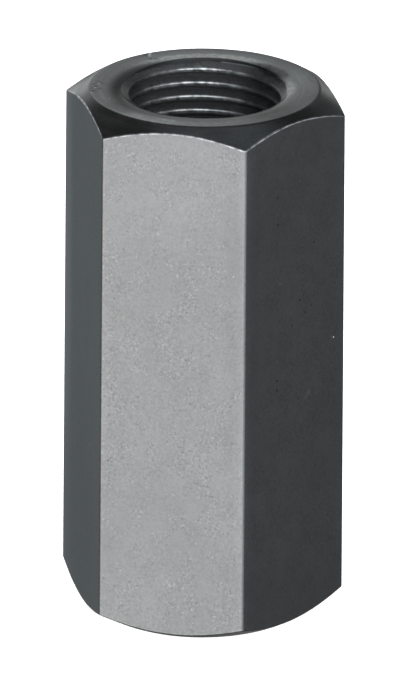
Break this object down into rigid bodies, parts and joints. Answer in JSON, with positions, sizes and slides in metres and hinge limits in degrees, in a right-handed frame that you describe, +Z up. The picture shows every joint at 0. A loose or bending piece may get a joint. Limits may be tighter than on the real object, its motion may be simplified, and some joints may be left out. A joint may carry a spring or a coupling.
{
  "type": "coupling nut",
  "caption": "Long hexagon coupling nut in blackened steel with chamfered ends and a countersunk fine thread right through, for joining threaded rods end to end.",
  "frame": {"origin": "centre of the lower end, where the nut stands", "axes": "+Z up along the thread axis; hexagon corners on +X and -X, flats facing +Y and -Y"},
  "size_m": [0.0414, 0.036, 0.072],
  "materials": {
    "black_oxide_steel": "black oxide, satin, slightly worn at the edges"
  },
  "bodies": {
    "root": {"coupling_nut": "black_oxide_steel"}
  },
  "joints": []
}
